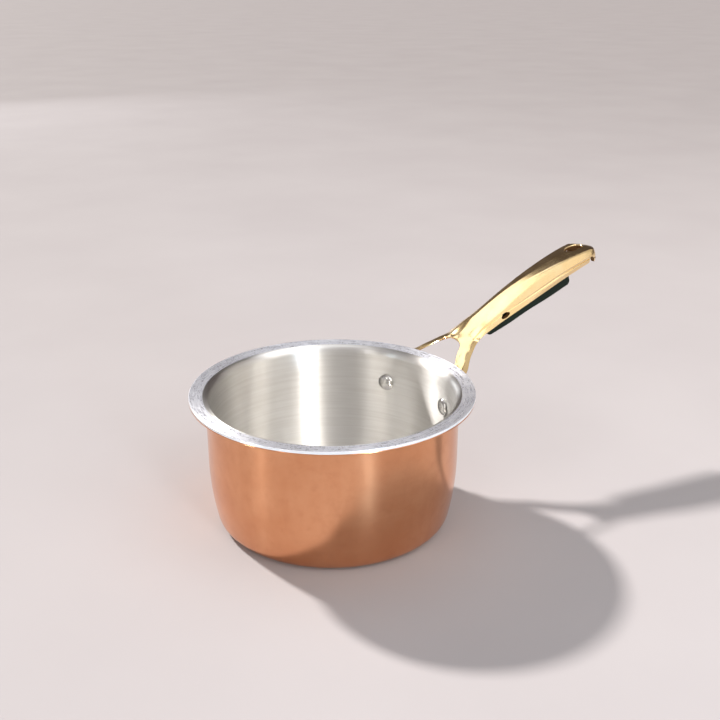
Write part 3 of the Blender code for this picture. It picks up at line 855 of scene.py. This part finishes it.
def handle_cutters(materials):
    """Dished hanging hole, notch behind the nose, window of the grip's lock
    and the two rivet drills."""
    top_slope = math.atan2(NOSE_TOP - RIDGE_TOP, NOSE_X - RIDGE_X)
    top = NOSE_TOP - (NOSE_X - HOLE_X) * math.tan(top_slope)
    flare = [(0.0, -CUT_REACH)] + [(share * HOLE_DISH, z * MM) for share, z in HOLE_FLARE]
    on_top = Matrix.Translation((HOLE_X, 0.0, top)) @ Matrix.Rotation(-top_slope, 4, "Y")
    cutters = [ellipse_cutter("cut_hole", *HOLE_HALF, flare, on_top, materials)]
    straight = [(0.0, -CUT_REACH), (0.0, CUT_REACH)]
    crosswise = (Matrix.Rotation(-EDGE_SLOPE, 4, "Y")
                 @ Matrix.Rotation(0.5 * math.pi, 4, "X"))
    for name, x, z, half in (("cut_notch", NOTCH_X, NOTCH_Z, NOTCH_HALF),
                             ("cut_window", WINDOW_X, WINDOW_Z, WINDOW_HALF)):
        through = Matrix.Translation((x, 0.0, z)) @ crosswise
        cutters.append(ellipse_cutter(name, *half, straight, through, materials))
    reach = [(0.0, PAD_BACK + depth) for depth in DRILL_REACH]
    bore = SHANK_RADIUS + DRILL_ROOM
    for name, angle in (("cut_left", RIVET_ANGLE), ("cut_right", -RIVET_ANGLE)):
        drill = radial(angle, RIVET_HEIGHT)
        cutters.append(ellipse_cutter(name, bore, bore, reach, drill, materials))
    return cutters


def make_handle(material, inside):
    mesh = bpy.data.meshes.new("handle_blank")
    bm = bmesh.new()
    layer = handle_sheet(bm)
    thicken(bm, layer)
    for face in bm.faces:
        face.smooth = True
    bm.to_mesh(mesh)
    bm.free()
    mesh.materials.append(material)
    mesh.materials.append(inside)
    blank = bpy.data.objects.new("handle_blank", mesh)
    bpy.context.scene.collection.objects.link(blank)
    cutters = handle_cutters([material, inside])
    for cutter in cutters:
        cut = blank.modifiers.new(cutter.name, "BOOLEAN")
        cut.operation = "DIFFERENCE"
        cut.solver = "EXACT"
        cut.object = cutter
    finished = baked(blank)
    for cutter in cutters:
        bpy.data.objects.remove(cutter)
    piece("brass_handle", finished, [], ["handle"])


# ---------------------------------------------------------------- grip strip
def grip_outline():
    """Side outline of the grip: round ends, belly below the stem's edge. The
    belly's own ends are left out, because they lie inside the round ends."""
    outline = arc(GRIP_FRONT, GRIP_END_RADIUS, math.pi, GRIP_TURN, 14)
    belly = [Vector((GRIP_FRONT[0], GRIP_FRONT[1] - GRIP_END_RADIUS, 0.0)),
             point_mm(158.0, 96.0, 0.0), point_mm(180.0, 101.8, 0.0),
             point_mm(202.0, 106.6, 0.0),
             Vector((GRIP_BACK[0], GRIP_BACK[1] - GRIP_END_RADIUS, 0.0))]
    outline += [(p.x, p.y) for p in smooth_path(belly, 12)[6:-3]]
    outline += arc(GRIP_BACK, GRIP_END_RADIUS, GRIP_TURN, math.tau, 12)
    top = [point_mm(222.6, 124.6, 0.0), point_mm(200.0, 118.6, 0.0),
           point_mm(180.0, 112.9, 0.0), point_mm(158.0, 106.8, 0.0),
           point_mm(138.0, 101.2, 0.0)]
    return outline + [(p.x, p.y) for p in smooth_path(top, 6)]


def make_grip(material):
    outline = grip_outline()
    curve = bpy.data.curves.new("grip_outline", "CURVE")
    curve.dimensions = "2D"
    curve.fill_mode = "BOTH"
    curve.extrude = GRIP_HALF - GRIP_ROUND
    curve.bevel_depth = GRIP_ROUND
    curve.bevel_resolution = 8
    curve.offset = -GRIP_ROUND
    spline = curve.splines.new("POLY")
    spline.points.add(len(outline) - 1)
    for point, (x, z) in zip(spline.points, outline):
        point.co = (x, z, 0.0, 1.0)
    spline.use_cyclic_u = True
    blank = bpy.data.objects.new("grip_blank", curve)
    bpy.context.scene.collection.objects.link(blank)
    mesh = baked(blank)
    mesh.transform(Matrix.Rotation(0.5 * math.pi, 4, "X"))
    bm = bmesh.new()
    bm.from_mesh(mesh)
    bmesh.ops.remove_doubles(bm, verts=bm.verts, dist=0.01 * MM)
    bmesh.ops.recalc_face_normals(bm, faces=bm.faces)
    for face in bm.faces:
        face.smooth = True
    bm.to_mesh(mesh)
    bm.free()
    piece("silicone_grip", mesh, [material], ["grip_strip"])


# --------------------------------------------------------------- the setting
def make_floor():
    mesh = bpy.data.meshes.new("pale_floor")
    bm = bmesh.new()
    bmesh.ops.create_grid(bm, x_segments=12, y_segments=12, size=FLOOR_HALF)
    bm.to_mesh(mesh)
    bm.free()
    floor = bpy.data.objects.new("pale_floor", mesh)
    floor.location.z = -FLOOR_DROP
    bpy.context.scene.collection.objects.link(floor)
    mesh.materials.append(floor_look())


def towards(azimuth, elevation):
    """Unit vector from the pan; azimuth is counted to the right from the
    direction that faces the camera, both angles in degrees."""
    ahead = Vector((CAMERA_AIM.x, CAMERA_AIM.y, 0.0)).normalized()
    right = Vector((ahead.y, -ahead.x, 0.0))
    turn, lift = math.radians(azimuth), math.radians(elevation)
    away = (-ahead * math.cos(turn) + right * math.sin(turn)) * math.cos(lift)
    away.z = math.sin(lift)
    return away


def lamp(name, kind, away, distance, power, tint):
    """Light of a kind, placed along a direction and aimed back at the pan."""
    data = bpy.data.lights.new(name, kind)
    data.energy = power
    data.color = tint
    light = bpy.data.objects.new(name, data)
    light.location = LIGHTS_AIM + away * distance
    light.rotation_mode = "QUATERNION"
    light.rotation_quaternion = (-away).to_track_quat("-Z", "Y")
    bpy.context.scene.collection.objects.link(light)
    return data


def sunlight(name, azimuth, elevation, spread, strength, tint):
    """Distant sun that looks as wide as its spread, in degrees."""
    data = lamp(name, "SUN", towards(azimuth, elevation), SUN_DISTANCE, strength, tint)
    data.angle = math.radians(spread)


def softbox(name, azimuth, elevation, distance, width, height, power, tint):
    """Soft rectangular light; distance and sizes in metres, power in watts."""
    data = lamp(name, "AREA", towards(azimuth, elevation), distance, power, tint)
    data.shape = "RECTANGLE"
    data.size, data.size_y = width, height


def make_lights():
    """Sun from behind on the left. The strips and panels stand where the
    walls, the lip and the handle reflect them towards the camera."""
    sunlight("sun", -132.5, 38.0, 4.2, 5.8, (1.0, 0.96, 0.92))
    softbox("key_strip", 26.0, 34.0, 1.5, 0.18, 1.3, 6.0, (1.0, 0.985, 0.97))
    softbox("low_strip", 29.0, 2.0, 1.1, 0.14, 0.20, 6.6, (0.70, 1.0, 1.25))
    softbox("right_panel", 60.0, 48.0, 1.5, 0.8, 0.75, 3.7, (1.0, 0.98, 0.95))
    softbox("side_panel", 71.0, 15.5, 1.3, 0.95, 0.92, 1.95, (1.0, 0.96, 0.90))
    softbox("right_back", 118.0, 32.0, 1.5, 0.9, 1.0, 1.3, (1.0, 0.95, 0.88))
    softbox("left_strip", -38.0, 30.0, 1.6, 0.14, 0.9, 1.4, (1.0, 0.97, 0.94))
    softbox("far_left", -59.0, 0.0, 1.1, 0.16, 0.14, 4.2, (0.85, 1.0, 1.1))
    softbox("back_left", -153.0, 12.0, 2.4, 0.9, 0.5, 3.0, (0.95, 0.97, 1.0))
    softbox("overhead", 135.0, 76.0, 1.5, 1.3, 1.0, 7.0, (0.97, 0.98, 1.0))


def make_world():
    """Soft room: pale towards the camera's side, dim behind."""
    world = bpy.data.worlds.new("soft_room")
    bpy.context.scene.world = world
    world.use_nodes = True
    tree = world.node_tree
    back = tree.nodes["Background"]
    back.inputs["Strength"].default_value = ROOM_STRENGTH
    way = tree.nodes.new("ShaderNodeTexCoord")
    dot = tree.nodes.new("ShaderNodeVectorMath")
    dot.operation = "DOT_PRODUCT"
    dot.inputs[1].default_value = (CAMERA_AIM.x, CAMERA_AIM.y, ROOM_TILT)
    ramp = tree.nodes.new("ShaderNodeValToRGB")
    for stop, (position, colour) in zip(ramp.color_ramp.elements, (ROOM_FRONT, ROOM_BACK)):
        stop.position = position
        stop.color = colour
    spread = tree.nodes.new("ShaderNodeMapRange")
    spread.inputs["From Min"].default_value = -1.0
    tree.links.new(way.outputs["Generated"], dot.inputs[0])
    tree.links.new(dot.outputs["Value"], spread.inputs["Value"])
    tree.links.new(spread.outputs["Result"], ramp.inputs["Fac"])
    tree.links.new(ramp.outputs["Color"], back.inputs["Color"])


def make_camera():
    data = bpy.data.cameras.new("camera")
    data.lens = CAMERA_LENS
    data.sensor_width = CAMERA_SENSOR
    camera = bpy.data.objects.new("camera", data)
    camera.location = CAMERA_PLACE
    camera.rotation_mode = "QUATERNION"
    camera.rotation_quaternion = CAMERA_AIM.to_track_quat("-Z", "Y")
    bpy.context.scene.collection.objects.link(camera)
    bpy.context.scene.camera = camera


make_vessel(copper_look(), aluminium_look(), steel_look(), lip_look())
make_rivets(rivet_look())
make_handle(brass_look(), shaded_inside_look())
make_grip(grip_look())
make_floor()
make_lights()
make_world()
make_camera()
bpy.context.scene.view_settings.view_transform = "Standard"
